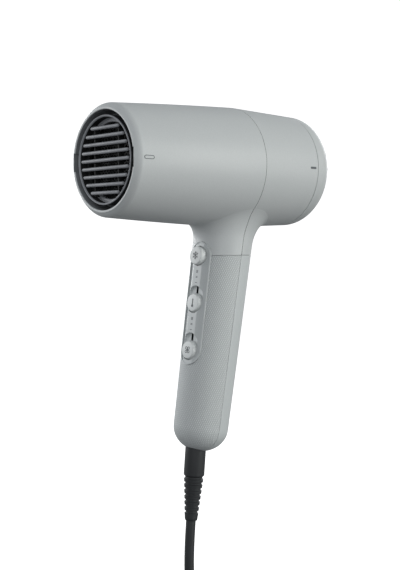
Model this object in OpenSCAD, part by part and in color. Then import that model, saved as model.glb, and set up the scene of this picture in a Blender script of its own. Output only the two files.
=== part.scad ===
// Hair dryer: round barrel on a leaning round handle, with its heater, fan, controls and mains cord.
// The origin is the middle of the hand grip. +Z is up and the air leaves towards -Y.

/* [Barrel] */
// Height of the barrel's axis above the middle of the grip
axis_z = 100; // [98:0.5:102]
// Distance from the middle of the grip forward to the outlet rim
reach = 97; // [96:0.1:98]
// Outside radius at the outlet rim
lip_r = 36.6; // [36.2:0.1:37]
// Length of the front shell, from the outlet rim to the seam
front_len = 106.5; // [106:0.1:107]
// Where the rear shell ends and the intake cap starts, with the rim at 3
cap_seam = 163.2; // [163:0.1:164]
// Where the dome of the intake cap starts
dome_start = 168; // [167.5:0.1:168.5]
// Depth of the dome
dome_len = 22; // [20:0.5:24]
// Radius where the dome starts
tail_r = 40.3; // [40:0.1:40.6]
// Wall thickness of the shells
wall = 2.4; // [2.2:0.1:2.6]

/* [Outlet] */
// Radius of the socket that takes a nozzle
socket_r = 32.7; // [32.5:0.1:33]
// Depth of the socket
socket_len = 15; // [14.8:0.1:15.2]
// Outside radius of the ring that carries a nozzle
ring_r = 29; // [28.8:0.1:29.2]
// Place of the ring's front edge along the barrel, whose rim is at 3
ring_start = 4; // [3.5:0.1:4.5]
// Spacing of the grille bars
bar_pitch = 5.25; // [5:0.05:5.4]
// Radius of a grille bar
bar_r = 1.15; // [1:0.05:1.3]
// Radius of the circle that the bars end on
bar_circle = 26; // [25.5:0.1:26.2]

/* [Handle] */
// Lean of the handle, its foot towards the outlet
lean = 9; // [8:0.5:10]
// Radius of the handle at the middle of the grip
grip_r = 20.45; // [20.2:0.05:20.8]
// Growth of that radius for each millimetre upwards
grip_taper = 0.0135; // [0.012:0.0005:0.015]
// Height at which the rounded foot starts
foot_z = -84; // [-85:0.5:-83]
// Height of the rounded foot
foot_h = 17; // [16:0.5:18]
// Thickness of the grip skins
grip_t = 1.2; // [1:0.1:1.4]
// Height of the line where the grip skins end
neck_z = 38; // [37:0.5:39]

/* [Controls] */
// Half width of the control panel
panel_r = 10.3; // [10:0.1:10.6]
// Distance between the middles of neighbouring controls
control_pitch = 33; // [32.5:0.1:33.5]
// Radius of a sliding knob
knob_r = 6.8; // [6.6:0.1:6.9]
// Height of a sliding knob above the panel
knob_h = 1.2; // [1:0.1:1.4]
// Travel of a sliding knob over its three positions
knob_travel = 5; // [4.6:0.1:5.2]
// Radius of the cool button
button_r = 6.6; // [6.4:0.1:6.7]
// Height of the cool button above the panel
button_h = 3.2; // [2.9:0.1:3.4]

/* [Fan and heater] */
// Radius of the motor
motor_r = 13.8; // [13.6:0.1:13.9]
// Inside radius of the fan duct
duct_r = 32; // [31.8:0.1:32.2]
// Radius of the fan
fan_r = 30.9; // [30:0.1:31]
// Number of fan blades
blades = 7; // [5:1:9]
// Turns of heating wire on each winding
coil_turns = 9; // [6:1:9]

/* [Cord] */
// Diameter of the mains cord
cord_d = 7; // [6.8:0.1:7.2]
// Radius of the middle of the innermost turn of the coil
turn_in = 33.5; // [33:0.5:34]
// Radius of the middle of the outermost turn
turn_out = 47.5; // [47:0.5:48]
// Layers of turns in the coil
layers = 3; // [3:1:3]

/* [Hidden] */
$fn = 72;

rim_s = 3;                                 // the rim's place along the barrel
seam_s = rim_s + front_len;                // the seam's place along the barrel
socket_s = rim_s + socket_len;
seam_y = front_len - reach;                // the seam's place along Y
knee = seam_y / sin(lean);                 // where the handle's seam meets the barrel's
knee_z = knee * cos(lean);
panel_lean = lean - atan(grip_taper);      // the panel follows the tapered handle's front
panel_y = -19.7;
panel_z = 4.9;
panel_t = 3.2;
fit = 0.15;                                // gap around what slips into an opening
cord_lean = 5;
cord_top = [0, -18, -98];
relief_len = 50;
coil_y = -57.5;
coil_top = -224.5;
relief_tip = [0, cord_top[1] - relief_len * sin(cord_lean), cord_top[2] - relief_len * cos(cord_lean)];
lug_turn = 18;                             // twist that frees the intake cap
lead_route = [[0, -22.4, -147.8], [0, -23.1, -157], [0, -23.7, -167], [0, -24, -177], [0, -24, -187],
    [-1.4, -24, -197], [-5.6, -24.5, -207], [-12, -26, -216], [-20, -30.5, -222.5],
    [-27, -38, -226.5]];
tail_route = [[47.5, -57.5, -242], [47.5, -50, -241.8], [47.5, -42, -240.5], [47.5, -34, -238],
    [47.5, -26, -235], [47.5, -19, -233], [47.5, -12, -232.5]];

function front_r(s) = lip_r + 0.066 * s - 0.00013 * s * s;
function rear_r(s) = front_r(seam_s)
    - (s - seam_s) * (front_r(seam_s) - tail_r) / (dome_start - seam_s);
function barrel_r(s) = s < seam_s ? front_r(s) : rear_r(s);
function handle_r(z) = grip_r + grip_taper * z;
function dome_point(a, out) = [(tail_r + out) * cos(a), dome_start + (dome_len + out) * sin(a)];

// ---- frames --------------------------------------------------------------------------------
// Local Z runs back along the barrel and is rim_s at the outlet rim, local X is X
module along_barrel() translate([0, -reach - rim_s, axis_z]) rotate([-90, 0, 0]) children();
// Local Z runs up the handle
module along_handle() rotate([-lean, 0, 0]) children();
// Local Y runs into the handle from the panel's face, local Z up the panel
module on_panel(z = 0) translate([0, panel_y, panel_z]) rotate([-panel_lean, 0, 0])
    translate([0, 0, z]) children();
module along_cord() translate(cord_top) rotate([-cord_lean, 0, 0]) children();

// ---- shared shapes -------------------------------------------------------------------------
module tube(r_out, r_in, len) difference() {
    cylinder(r = r_out, h = len);
    translate([0, 0, -1]) cylinder(r = r_in, h = len + 2);
}
// An upright obround prism in the XZ plane, from y0 to y1
module obround(r, z0, z1, y0, y1) {
    for (z = [z0, z1]) translate([0, y0, z]) rotate([-90, 0, 0]) cylinder(r = r, h = y1 - y0);
    translate([-r, y0, z0]) cube([2 * r, y1 - y0, z1 - z0]);
}
module ring_of_bosses(r, n) for (i = [0:n - 1]) rotate(360 / n * i) translate([r, 0, 0]) children();

// Everything in front of the seam between the two shells
module front_side() {
    along_handle() translate([-70, -160, -150]) cube([140, 160, 150 + knee]);
    translate([-70, -160, knee_z]) cube([140, 160 + seam_y, 120]);
}
module barrel_outline() along_barrel() rotate_extrude() polygon(concat(
    [[0, rim_s + 0.6], [socket_r, rim_s + 0.6], [socket_r + 0.2, rim_s + 0.2]],
    [[33.2, rim_s], [33.7, rim_s], [34, rim_s + 0.4]],
    [for (t = [0.2:0.2:1]) [34 + (front_r(8) - 34) * t * (2 - t), rim_s + 0.4 + 4.6 * t]],
    [for (s = [20:20:100]) [front_r(s), s]],
    [[front_r(seam_s), seam_s], [rear_r(cap_seam), cap_seam], [0, cap_seam]]));
module barrel_cavity() along_barrel() rotate_extrude() polygon(concat(
    [[0, -1], [socket_r, -1], [socket_r, socket_s], [28.4, socket_s],
        [28.4, socket_s + 2.5], [front_r(20.5) - wall, socket_s + 2.5]],
    [for (s = [40:20:100]) [front_r(s) - wall, s]],
    [[front_r(seam_s) - wall, seam_s], [rear_r(cap_seam) - wall, cap_seam + 1],
        [0, cap_seam + 1]]));
module handle_outline(inset, top) along_handle() rotate_extrude() polygon(concat(
    [for (a = [0:7.5:90]) [(handle_r(foot_z) - inset) * sin(a), foot_z - (foot_h - inset) * cos(a)]],
    [[handle_r(top) - inset, top], [0, top]]));
// The flare that carries the handle into the barrel
module neck_flare() along_handle() rotate_extrude() polygon(concat([[0, 42]],
    [for (a = [0:10:90]) [handle_r(42) + 5 * (1 - cos(a)), 42 + 14 * sin(a)]],
    [[handle_r(42) + 5, 64], [0, 64]]));
module above_neck(z) translate([-60, -160, z]) cube([120, 320, 200]);
module cord_opening() along_cord() translate([0, 0, -20]) cylinder(r = 7.3 + fit, h = 26);

module housing() {
    difference() {
        union() {
            barrel_outline();
            neck_flare();
            handle_outline(grip_t, 62);
            intersection() {
                handle_outline(0, 62);
                above_neck(neck_z);
            }
        }
        barrel_cavity();
        along_handle() rotate_extrude() polygon(concat(
            [for (a = [0:7.5:90]) [(handle_r(foot_z) - grip_t - wall) * sin(a),
                foot_z - (foot_h - grip_t - wall) * cos(a)]],
            [[handle_r(70) - grip_t - wall, 70], [0, 70]]));
        on_panel() obround(panel_r + fit, -control_pitch, control_pitch, -8, 8);
        cord_opening();
        // bayonet slots of the nozzle socket
        for (side = [-1, 1]) translate([side * 32.1 - 1.1, -reach - 1, axis_z - 6.2]) cube([2.2, 9, 12.4]);
    }
    // screw bosses that join the two shells
    difference() {
        along_handle() for (x = [-11, 11]) translate([x, -10, -66]) rotate([-90, 0, 0])
            cylinder(r = 2.9, h = 20);
        along_handle() for (x = [-11, 11]) translate([x, -11, -66]) rotate([-90, 0, 0])
            cylinder(r = 1.5, h = 18);
    }
}

// ---- housing -------------------------------------------------------------------------------
module front_shell() color("#a9b0b2") intersection() {
    housing();
    front_side();
}
module rear_shell() color("#a3aaac") difference() {
    housing();
    front_side();
}
module grip_skin() difference() {
    handle_outline(0, 45);
    handle_outline(grip_t, 46);
    above_neck(neck_z - 0.2);
    on_panel() obround(panel_r + fit, -control_pitch, control_pitch, -8, 8);
    cord_opening();
}
module grip_front() color("#9aa1a4") intersection() {
    grip_skin();
    front_side();
}
module grip_rear() color("#b4babb") difference() {
    grip_skin();
    front_side();
}
module nozzle_mark() color("#6e7376") intersection() {
    along_barrel() rotate_extrude() polygon([[front_r(8), 8], [front_r(8) + 0.15, 8],
        [front_r(17) + 0.15, 17], [front_r(17), 17]]);
    difference() {
        mark_prism(1.25, 2.55, 12.3);
        mark_prism(0.85, 2.55, 12.3);
    }
}
// An obround prism along X, lying lengthwise on the +X side of the barrel
module mark_prism(r, half, s) translate([30, s - reach - rim_s, axis_z]) rotate([0, 90, 0]) {
    for (y = [-half, half]) translate([0, y, 0]) cylinder(r = r, h = 14);
    translate([-r, -half, 0]) cube([2 * r, 2 * half, 14]);
}
module shell_mark() color("#6e7376") intersection() {
    along_barrel() rotate_extrude() polygon([[rear_r(152), 152], [rear_r(152) + 0.15, 152],
        [rear_r(163) + 0.15, 163], [rear_r(163), 163]]);
    mark_prism(0.8, 2.2, 158);
}

// ---- outlet --------------------------------------------------------------------------------
module outlet_ring() color("#2a2c2e") along_barrel() rotate_extrude() polygon([[27.6, 5.2],
    [28, ring_start], [28.6, ring_start], [ring_r, 4.5], [ring_r, socket_s], [27.6, socket_s]]);
module outlet_grille() color("#6c6f73") along_barrel() {
    for (i = [-4:4]) {
        half = sqrt(bar_circle * bar_circle - pow(i * bar_pitch, 2)) - bar_r;
        translate([-half, i * bar_pitch, 5.2]) rotate([0, 90, 0]) cylinder(r = bar_r, h = 2 * half);
        for (x = [-half, half]) translate([x, i * bar_pitch, 5.2]) sphere(r = bar_r);
    }
    for (x = [-13, 13]) translate([x - 0.8, -23.4, 5.4]) cube([1.6, 46.8, 5.6]);
    translate([0, 0, 9.5]) tube(27.5, 24.8, 2.5);
}

// ---- intake cap ----------------------------------------------------------------------------
module filter_cap() color("#a3aaac") along_barrel() {
    difference() {
        rotate_extrude() polygon(concat(
            [[38.2, cap_seam + 0.3], [rear_r(cap_seam), cap_seam + 0.3]],
            [for (a = [0:7.5:90]) dome_point(a, 0)],
            [for (a = [90:-7.5:0]) dome_point(a, -2.1)]));
        for (k = [0:4]) ring_of_bosses(6.2 * k, max(1, 6 * k)) translate([0, 0, 180])
            cylinder(r = 1.6, h = 12);
    }
    rotate_extrude() polygon([[33.4, 149.5], [35.12, 149.5], [35.12, 164.6], [38.6, 164.6],
        [38.6, 166.4], [33.4, 166.4]]);
    for (i = [0:2]) rotate(120 * i) intersection() {
        translate([0, 0, 152.4]) tube(36.4, 34.6, 2.3);
        translate([30, -5, 150]) cube([10, 10, 8]);
    }
}
module cap_marks() color("#6e7376") intersection() {
    along_barrel() rotate_extrude() polygon(concat(
        [for (a = [7.5:7.5:52.5]) dome_point(a, 0.15)], [for (a = [52.5:-7.5:7.5]) dome_point(a, 0)]));
    along_barrel() {
        translate([30, 0, 178]) rotate([0, 90, 0]) cylinder(r = 0.8, h = 14);
        rotate(-lug_turn) translate([30, 0, 178]) rotate([0, 90, 0]) tube(1.35, 0.9, 14);
    }
}
module filter_mesh() color("#55585a") along_barrel() translate([0, 0, 166.4])
    cylinder(r = 37.4, h = 0.6);
// A slice of a disc between two angles
module slice(r, from, to, h) linear_extrude(h) polygon(concat([[0, 0]],
    [for (k = [0:4]) let (a = from + (to - from) * k / 4) r * [cos(a), sin(a)]]));
module intake_ring() color("#3a3c3e") along_barrel() difference() {
    translate([0, 0, 148]) tube(37.9, 35.2, 16);
    for (i = [0:2]) rotate(120 * i) {
        // the groove that a lug turns in, and the way in for the lug
        translate([0, 0, 152]) slice(36.8, -11, lug_turn + 11, 3);
        translate([0, 0, 153]) slice(36.7, lug_turn - 9.5, lug_turn + 9.5, 12);
    }
}

// ---- heater --------------------------------------------------------------------------------
module heat_tube() color("#8c8f91") along_barrel() translate([0, 0, socket_s])
    tube(28.4, 27.6, 72);
module mica_sleeve() color("#c9bd9d") along_barrel() translate([0, 0, 21]) tube(27.4, 26.6, 64);
module mica_cross() color("#cdc3a5") along_barrel() {
    translate([-26.4, -0.4, 24]) cube([52.8, 0.8, 60]);
    difference() {
        translate([-0.4, -26.4, 24]) cube([0.8, 52.8, 60]);
        translate([-1, -0.4, 23]) cube([2, 0.8, 62]);
    }
}
module heater_coils() color("#8d8a86") along_barrel()
    for (i = [0:coil_turns - 1], r = [15, 22.5]) translate([0, 0, 29 + 6 * i + (r > 20 ? 3 : 0)])
        rotate_extrude() translate([r, 0]) circle(r = 0.6);
module thermostat() color("#b9b4a6") along_barrel() {
    translate([0, 0, 84]) cylinder(r = 6.5, h = 3.4);
    for (x = [-9.5, 5.5]) translate([x, -1.5, 84]) cube([4, 3, 0.8]);
}
module thermal_fuse() color("#d8d6d0") along_barrel() translate([-5, 13, 86]) rotate([0, 90, 0])
    cylinder(r = 2, h = 10);
module ion_emitter() color("#d9dadb") along_barrel() rotate(45) translate([22, 0, 13]) {
    cylinder(r = 2.4, h = 9);
    translate([0, -1.5, 5]) cube([4.4, 3, 2.8]);
}
module ion_module() color("#2f3436") along_barrel() translate([-8, -34.6, 40]) cube([16, 5.4, 24]);

// ---- fan and motor -------------------------------------------------------------------------
module fan_duct() color("#45484a") along_barrel() {
    difference() {
        rotate_extrude() polygon([[28.45, 84], [29.9, 84], [29.9, 91], [duct_r + 1.4, 98],
            [39.1, 98], [39.1, 100], [duct_r + 1.4, 100], [duct_r + 1.4, 145.5], [37.9, 145.5],
            [37.9, 148], [duct_r, 148], [duct_r, 98.4], [28.45, 91.4]]);
    }
    translate([0, 0, 97]) tube(16.6, 15.2, 21);
    for (i = [0:6]) rotate(360 / 7 * i) translate([16.2, 0, 105]) rotate([22, 0, 0])
        translate([0, -0.7, -6.5]) cube([16.2, 1.4, 13]);
}
module motor_mount() color("#1d1e1f") along_barrel() translate([0, 0, 99]) tube(15.2, motor_r, 6);
module motor_can() color("#b8bbbd") along_barrel() difference() {
    translate([0, 0, 96]) cylinder(r = motor_r, h = 26);
    translate([0, 0, 95]) cylinder(r = 12.6, h = 25.4);
    translate([0, 0, 95]) cylinder(r = 4, h = 28);
}
module motor_magnets() color("#4b4c4f") along_barrel() difference() {
    translate([0, 0, 99]) tube(12.6, 9.8, 18);
    translate([-14, -2.5, 98]) cube([28, 5, 20]);
}
module motor_end_cap() color("#e3e1da") along_barrel() translate([0, 0, 92]) tube(motor_r, 4, 4);
module motor_terminals() color("#c9a44a") along_barrel()
    for (x = [-9.8, 9]) translate([x, -2, 88]) cube([0.8, 4, 4]);
module motor_bearings() color("#b08d4c") along_barrel() for (s = [92.5, 119.5])
    translate([0, 0, s]) tube(4, 1.6, 3);
module motor_shaft() color("#d0d3d5") along_barrel() translate([0, 0, 91]) cylinder(r = 1.55, h = 47);
module motor_armature() color("#a4703c") along_barrel() translate([0, 0, 99.5])
    tube(9.2, 1.55, 17);
module impeller() color("#2d3032") along_barrel() {
    rotate_extrude() polygon([[1.55, 125], [13, 125], [13, 137], [12.6, 139], [11.2, 141],
        [9, 142], [0, 142], [0, 138], [1.55, 138]]);
    for (i = [0:blades - 1]) rotate(360 / blades * i) intersection() {
        translate([0, 0, 125.3]) tube(fan_r, 12.4, 11.3);
        translate([10, 0, 131]) rotate([-48, 0, 0]) translate([0, -0.7, -9]) cube([22, 1.4, 18]);
    }
}

// ---- controls ------------------------------------------------------------------------------
module knob_pocket(z) on_panel(z) {
    // a dished pocket, and the slot that the knob's stem runs in
    obround(knob_r + 0.4, 0, knob_travel, -1, 2.2);
    obround(1.6, -0.3, knob_travel + 0.3, 1, 6);
}
module control_panel() color("#9da4a6") difference() {
    union() {
        intersection() {
            on_panel() obround(panel_r, -control_pitch, control_pitch, 0, panel_t + 3);
            on_panel() translate([0, 0, -50]) linear_extrude(100) polygon([[-4, 0], [4, 0],
                [9.5, 2.6], [panel_r + 1, 2.6], [panel_r + 1, 5.6], [8, 5.6], [6, panel_t],
                [-6, panel_t], [-8, 5.6], [-panel_r - 1, 5.6], [-panel_r - 1, 2.6], [-9.5, 2.6]]);
        }
        // raised edge
        difference() {
            intersection() {
                on_panel() obround(panel_r, -control_pitch, control_pitch, -1, 5);
                along_handle() rotate_extrude() polygon([[0, -50], [handle_r(-50) + 0.3, -50],
                    [handle_r(50) + 0.3, 50], [0, 50]]);
            }
            on_panel() obround(panel_r - 0.8, -control_pitch, control_pitch, -2, 6);
        }
    }
    knob_pocket(0);
    knob_pocket(-control_pitch);
    on_panel(control_pitch) rotate([-90, 0, 0]) {
        translate([0, 0, -2]) cylinder(r = button_r + 0.35, h = 9);
        translate([0, 0, 3]) cylinder(r = 7.95, h = 4);    // room for the button's flange
    }
}
module cool_button() color("#b3b9bb") on_panel(control_pitch) rotate([-90, 0, 0]) rotate_extrude()
    polygon([[0, -button_h], [button_r - 0.9, -button_h], [button_r - 0.4, -button_h + 0.35],
        [button_r, 0.4], [button_r, 3.6], [7.6, 3.6], [7.6, 4.6], [2, 4.6], [2, 8], [0, 8]]);
module on_face(z, h) on_panel(z) translate([0, -h, 0]) rotate([90, 0, 0]) linear_extrude(0.12)
    children();
module cool_button_mark() color("#6e7376") on_face(control_pitch, button_h) {
    for (a = [0:60:300]) rotate(a) {
        translate([-0.25, 0]) square([0.5, 2.9]);
        for (side = [-1, 1]) translate([0, 1.5]) rotate(45 * side) translate([-0.2, 0]) square([0.4, 1]);
    }
}
module cool_button_spring() color("#c4c7c9") on_panel(control_pitch) rotate([-90, 0, 0])
    for (i = [0:4]) translate([0, 0, 4.95 + 0.82 * i]) rotate_extrude() translate([3.2, 0])
        circle(r = 0.33);
module cool_switch() color("#27292b") on_panel(control_pitch) difference() {
    translate([-6, 8.6, -6]) cube([12, 6, 12]);
    translate([0, 8, 0]) rotate([-90, 0, 0]) cylinder(r = 2.3, h = 4);
}
module slide_knob(z) color("#b3b9bb") on_panel(z) {
    rotate([-90, 0, 0]) rotate_extrude() polygon([[0, -knob_h], [knob_r - 1.3, -knob_h],
        [knob_r - 0.8, -knob_h + 0.3], [knob_r, 1.4], [knob_r, 1.9], [0, 1.9]]);
    translate([-1, 1.8, -1.4]) cube([2, 8.2, 2.8]);
}
module slide_switch(z) color("#27292b") on_panel(z) difference() {
    translate([-5, 6.6, -8]) cube([10, 7, 16 + knob_travel]);
    translate([-1.3, 6, -1.7]) cube([2.6, 4.6, 3.4 + knob_travel]);
}
module temperature_knob() slide_knob(0);
module temperature_knob_mark() color("#6e7376") on_face(0, knob_h) {
    translate([0, -2.1]) circle(r = 1);
    translate([-0.45, -2]) square([0.9, 4.4]);
    translate([0, 2.4]) circle(r = 0.45);
}
module temperature_switch() slide_switch(0);
module speed_knob() slide_knob(-control_pitch);
module speed_knob_mark() color("#6e7376") on_face(-control_pitch, knob_h) {
    for (a = [45:90:315]) rotate(a) translate([1.7, 0]) difference() {
        circle(r = 1.1);
        circle(r = 0.7);
    }
    circle(r = 0.6);
}
module speed_switch() slide_switch(-control_pitch);
// one, two and three bars at the three positions of each knob
module level_marks() color("#6e7376") for (z = [-control_pitch, 0]) {
    for (step = [0:2], bar = [0:step]) on_face(z + 14.2 + 3.9 * step, 0)
        translate([-0.9, (bar - step / 2) * 0.75 - 0.2]) square([1.8, 0.4]);
}

// ---- electrics and cord entry --------------------------------------------------------------
module circuit_board() color("#2f6b46") along_handle() translate([-12, 2, -56]) cube([24, 1.6, 90]);
module choke() color("#8a5a2b") along_handle() translate([0, 9, -38]) cylinder(r = 5, h = 16);
module suppression_capacitor() color("#c8b23a") along_handle() translate([-6, 3.6, 4]) cube([12, 8, 16]);
module inner_leads() color("#7a2f2b") along_handle() {
    for (x = [-8, 8]) translate([x, 6, 20]) cylinder(r = 1.1, h = 40);
    for (x = [-3, 3]) translate([x, 0.6, -76]) cylinder(r = 1.1, h = 20);
    translate([0, 0, -80]) cylinder(r = 3.2, h = 4);
}
module cord_clamp() color("#3a3c3e") along_handle() difference() {
    translate([-10, -4, -86]) cube([20, 9, 6]);
    translate([0, 0, -87]) cylinder(r = 3.4, h = 8);
    for (x = [-7, 7]) translate([x, -5, -83]) rotate([-90, 0, 0]) cylinder(r = 1.3, h = 12);
}
module clamp_screws() color("#c4c7c9") along_handle() for (x = [-7, 7])
    translate([x, -4, -83]) rotate([-90, 0, 0]) {
        cylinder(r = 1.3, h = 9);
        translate([0, 0, 9]) cylinder(r = 2.3, h = 1.6);
    }
module housing_screws() color("#c4c7c9") along_handle() for (x = [-11, 11])
    translate([x, -8, -66]) rotate([-90, 0, 0]) cylinder(r = 1.5, h = 15);
module strain_relief() color("#3b3d3f") along_cord() rotate_extrude() polygon([[0, 8], [3.4, 8],
    [3.4, 5], [7.3, 5], [7.3, -18], [7, -21], [4.6, -relief_len + 1.2], [4, -relief_len],
    [0, -relief_len]]);

// ---- mains cord ----------------------------------------------------------------------------
// A point on the smooth curve through a route, at t route steps from its start
function smooth(p, t) = let (n = len(p) - 1, i = min(floor(t), n - 1), f = t - i,
    a = p[max(i - 1, 0)], b = p[i], c = p[i + 1], d = p[min(i + 2, n)])
    b + 0.5 * f * ((c - a) + f * ((2 * a - 5 * b + 4 * c - d) + f * (3 * b - a - 3 * c + d)));
function unit(v) = v / norm(v);
// A tube of sides around the smooth curve through a route, with two rings for each step
module route_tube(p, r, sides = 10) {
    n = 2 * (len(p) - 1);
    mid = [for (k = [0:n]) smooth(p, k / 2)];
    way = [for (k = [0:n]) unit(mid[min(k + 1, n)] - mid[max(k - 1, 0)])];
    points = [for (k = [0:n]) let (u = unit(cross(way[k], [1, 0.2, 0])), w = cross(way[k], u))
        for (j = [0:sides - 1]) mid[k] + r * (cos(360 / sides * j) * u + sin(360 / sides * j) * w)];
    faces = concat([[for (j = [0:sides - 1]) j]],
        [for (k = [0:n - 1], j = [0:sides - 1]) [k * sides + j, (k + 1) * sides + j,
            (k + 1) * sides + (j + 1) % sides, k * sides + (j + 1) % sides]],
        [[for (j = [sides - 1:-1:0]) n * sides + j]]);
    polyhedron(points, faces, convexity = 4);
}
module cord_lead() color("#2b2d2f") route_tube(lead_route, cord_d / 2);
module cord_coil() color("#2b2d2f") translate([0, coil_y, coil_top - layers * cord_d])
    rotate_extrude() translate([turn_in - cord_d / 2, 0])
        square([turn_out - turn_in + cord_d, layers * cord_d]);
module cord_tie() color("#1d1e1f") translate([0, coil_y, coil_top - layers * cord_d / 2])
    rotate(225) translate([(turn_in + turn_out) / 2, 6, 0]) rotate([90, 0, 0]) linear_extrude(12)
        difference() {
            square([turn_out - turn_in + cord_d + 2.4, layers * cord_d + 2.4], center = true);
            square([turn_out - turn_in + cord_d, layers * cord_d], center = true);
        }
module cord_tail() color("#2b2d2f") route_tube(tail_route, cord_d / 2, 8);
module at_plug() translate(tail_route[6]) rotate([-90, 0, 0]) children();
module plug_relief() color("#2b2d2f") at_plug() cylinder(r1 = 4.4, r2 = 6, h = 18);
module plug_body() color("#232527") at_plug() intersection() {
    rotate_extrude() polygon([[0, 18], [8, 18], [11, 21], [12.5, 30], [17.2, 42], [17.75, 44],
        [17.75, 54], [0, 54]]);
    translate([-20, -12.9, 0]) cube([40, 25.8, 60]);
}
module plug_pins() color("#c9c3ae") at_plug() for (x = [-9.5, 9.5]) translate([x, 0, 54]) {
    cylinder(r = 2.4, h = 17);
    translate([0, 0, 17]) cylinder(r1 = 2.4, r2 = 1.4, h = 2);
}

front_shell();
rear_shell();
grip_front();
grip_rear();
control_panel();
cool_button();
cool_button_mark();
cool_button_spring();
cool_switch();
temperature_knob();
temperature_knob_mark();
temperature_switch();
speed_knob();
speed_knob_mark();
speed_switch();
level_marks();
outlet_ring();
outlet_grille();
nozzle_mark();
filter_cap();
cap_marks();
filter_mesh();
shell_mark();
intake_ring();
heat_tube();
mica_sleeve();
mica_cross();
heater_coils();
thermostat();
thermal_fuse();
ion_emitter();
ion_module();
fan_duct();
motor_mount();
motor_can();
motor_magnets();
motor_end_cap();
motor_terminals();
motor_bearings();
motor_shaft();
motor_armature();
impeller();
circuit_board();
choke();
suppression_capacitor();
inner_leads();
cord_clamp();
clamp_screws();
housing_screws();
strain_relief();
cord_lead();
cord_coil();
cord_tie();
cord_tail();
plug_relief();
plug_body();
plug_pins();
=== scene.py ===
"""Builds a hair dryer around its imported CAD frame: satin shells, knurled grip, controls and cord.

Shapes are worked out in millimetres and every finished piece is scaled to metres in its mesh.
"""

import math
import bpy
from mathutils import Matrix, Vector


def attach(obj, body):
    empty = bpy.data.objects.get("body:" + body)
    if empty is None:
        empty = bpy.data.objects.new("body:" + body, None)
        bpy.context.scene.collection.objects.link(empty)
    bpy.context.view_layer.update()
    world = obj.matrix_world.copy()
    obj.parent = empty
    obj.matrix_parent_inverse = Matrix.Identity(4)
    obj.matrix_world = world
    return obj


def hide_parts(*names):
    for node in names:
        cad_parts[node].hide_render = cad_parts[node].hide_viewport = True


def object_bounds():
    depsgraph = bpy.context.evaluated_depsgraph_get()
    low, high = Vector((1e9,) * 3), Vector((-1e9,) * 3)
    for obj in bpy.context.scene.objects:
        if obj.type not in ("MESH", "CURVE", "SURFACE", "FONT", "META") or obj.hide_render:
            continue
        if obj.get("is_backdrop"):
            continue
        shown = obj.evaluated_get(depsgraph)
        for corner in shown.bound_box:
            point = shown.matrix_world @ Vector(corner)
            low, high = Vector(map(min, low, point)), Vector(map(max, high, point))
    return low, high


bl_info = {
    "name": "Hair Dryer",
    "version": (1, 0, 0),
    "blender": (4, 5, 0),
    "location": "3D View > Sidebar > Hair Dryer",
    "description": "A hair dryer with a round handle, three controls and a coiled mains cord",
    "category": "Object",
}

import bmesh
import bpy
from mathutils import Matrix, Vector

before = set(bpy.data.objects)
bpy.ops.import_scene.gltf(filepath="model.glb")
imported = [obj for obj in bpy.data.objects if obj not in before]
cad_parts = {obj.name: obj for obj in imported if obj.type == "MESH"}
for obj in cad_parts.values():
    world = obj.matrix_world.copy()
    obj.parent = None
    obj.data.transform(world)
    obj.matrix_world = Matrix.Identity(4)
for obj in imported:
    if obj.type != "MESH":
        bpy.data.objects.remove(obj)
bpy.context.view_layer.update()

MM = 0.001
TAU = 2 * math.pi
RIM = 3.3               # the outlet rim's place on the barrel's own scale, along which profiles run
SOCKET_END = 18.0       # the bottom of the nozzle socket, on the same scale
SEAM_GAP = 0.3          # between the front and rear halves of the shells and of the skins
GROOVE = 0.0016         # metres between the knurl's grooves; the woven wires lie at half of it
CORD_TOP = Vector((0, -18, -98))
CORD_LEAN = math.radians(5)
RELIEF_LENGTH = 50.0
PANEL_ORIGIN = Vector((0, -19.7, 4.9))
KNOB_TRAVEL = 5.0


# ---- sizes and colours -----------------------------------------------------------------------
def length(name, description, value):
    """A length that is shown in the scene's units; value is in millimetres."""
    return bpy.props.FloatProperty(
        name=name, description=description, default=value * MM, min=0, unit="LENGTH", precision=4
    )


class HairDryerBarrel(bpy.types.PropertyGroup):
    axis_height: length("Axis height", "Height of the barrel's axis above the grip", 100)
    reach: length("Reach", "Distance from the grip forward to the outlet rim", 96.7)
    lip_radius: length("Lip radius", "Outside radius at the outlet rim", 36.6)
    front_length: length("Front shell", "Length of the front shell from rim to seam", 106.2)
    cap_seam: length("Cap seam", "Where the rear shell ends and the intake cap starts", 163.2)
    dome_start: length("Dome start", "Where the dome of the intake cap starts", 168)
    dome_depth: length("Dome depth", "Depth of the dome", 22)
    tail_radius: length("Tail radius", "Radius where the dome starts", 40.3)
    socket_radius: length("Socket radius", "Radius of the socket that takes a nozzle", 32.4)
    ring_radius: length("Ring radius", "Outside radius of the ring inside the socket", 29)
    wall: length("Wall", "Thickness of the shells", 2.4)
    bar_pitch: length("Bar pitch", "Spacing of the grille bars", 5.25)
    bar_radius: length("Bar radius", "Radius of a grille bar", 1.15)


class HairDryerHandle(bpy.types.PropertyGroup):
    lean: bpy.props.FloatProperty(
        name="Lean",
        description="Lean of the handle, its foot towards the outlet",
        default=math.radians(9),
        unit="ROTATION",
    )
    radius: length("Radius", "Radius at the middle of the grip", 20.45)
    taper: bpy.props.FloatProperty(
        name="Taper", description="Growth of the radius for each unit upwards", default=0.0135
    )
    foot_height: length("Foot height", "Height of the rounded foot", 17)
    foot_start: length("Foot start", "Distance from the middle down to the rounded foot", 84)
    skin: length("Skin", "Thickness of the grip skins", 1.2)
    neck_height: length("Neck line", "Height of the line where the grip skins end", 38)
    control_pitch: length("Control pitch", "Distance between neighbouring controls", 33)
    panel_radius: length("Panel radius", "Half width of the control panel", 10.3)
    knob_radius: length("Knob radius", "Radius of a sliding knob", 6.8)
    button_radius: length("Button radius", "Radius of the cool button", 6.6)
    button_height: length("Button height", "Height of the cool button above the panel", 3.2)
    knob_height: length("Knob height", "Height of a sliding knob above the panel", 1.2)


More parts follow.
